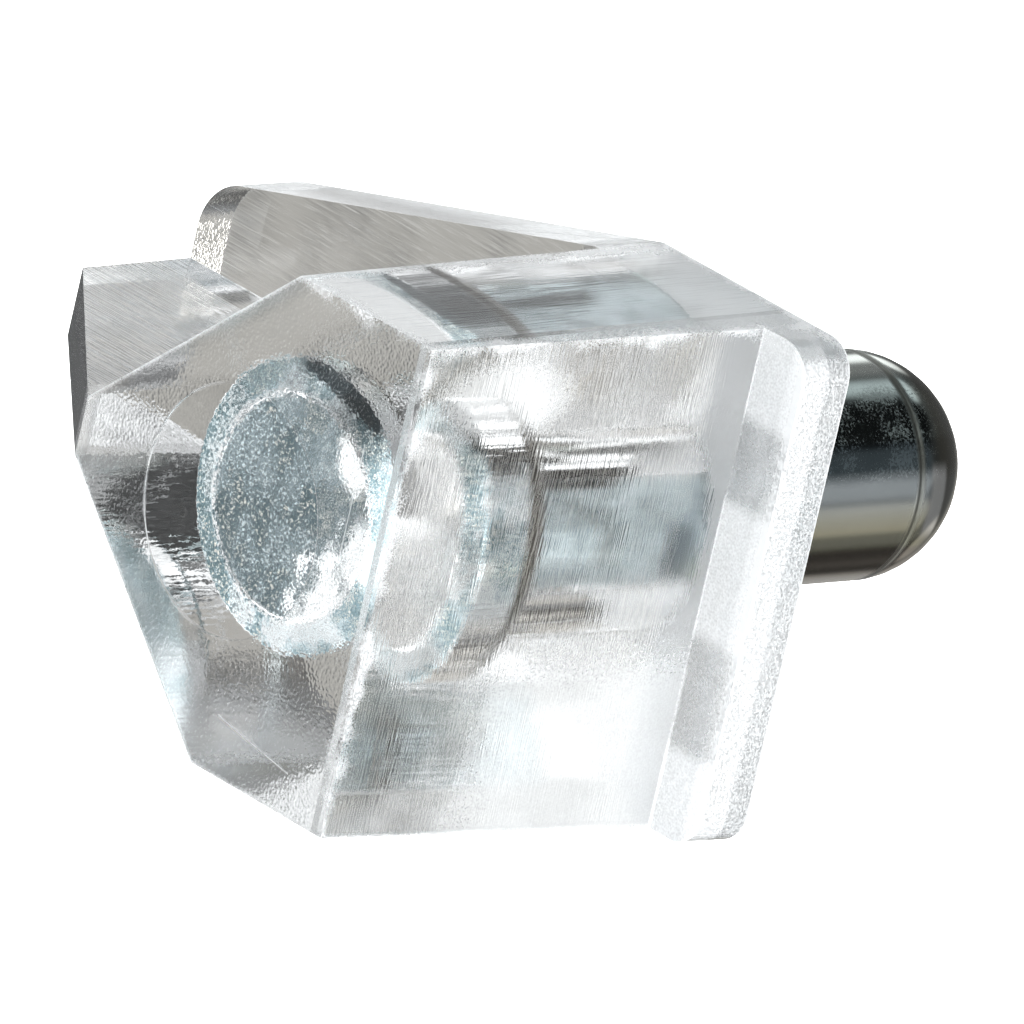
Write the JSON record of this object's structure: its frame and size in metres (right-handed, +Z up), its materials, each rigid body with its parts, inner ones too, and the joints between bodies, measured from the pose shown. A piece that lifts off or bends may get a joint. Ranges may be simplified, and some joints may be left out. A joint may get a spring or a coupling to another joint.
{
  "type": "shelf support pin",
  "caption": "Clear moulded bracket with a sloping shelf seat, low lip, V-shaped underside and gusset, on a dome-ended steel pin that pushes into a cabinet's side.",
  "frame": {"origin": "where the pin's axis meets the plane of the wall plate's back, which bears on the cabinet's side", "axes": "+Y along the pin to its domed end, into the cabinet's side; +Z up, towards the seat that the shelf lies on; +X across the width, across which the part is its own mirror image"},
  "size_m": [0.0114, 0.0203, 0.0181],
  "materials": {
    "clear_plastic": "water-clear moulding with fine scratches",
    "pin_steel": "dark bright plating with fine grain"
  },
  "bodies": {
    "root": {"support_body": "clear_plastic", "steel_pin": "pin_steel"}
  },
  "joints": []
}
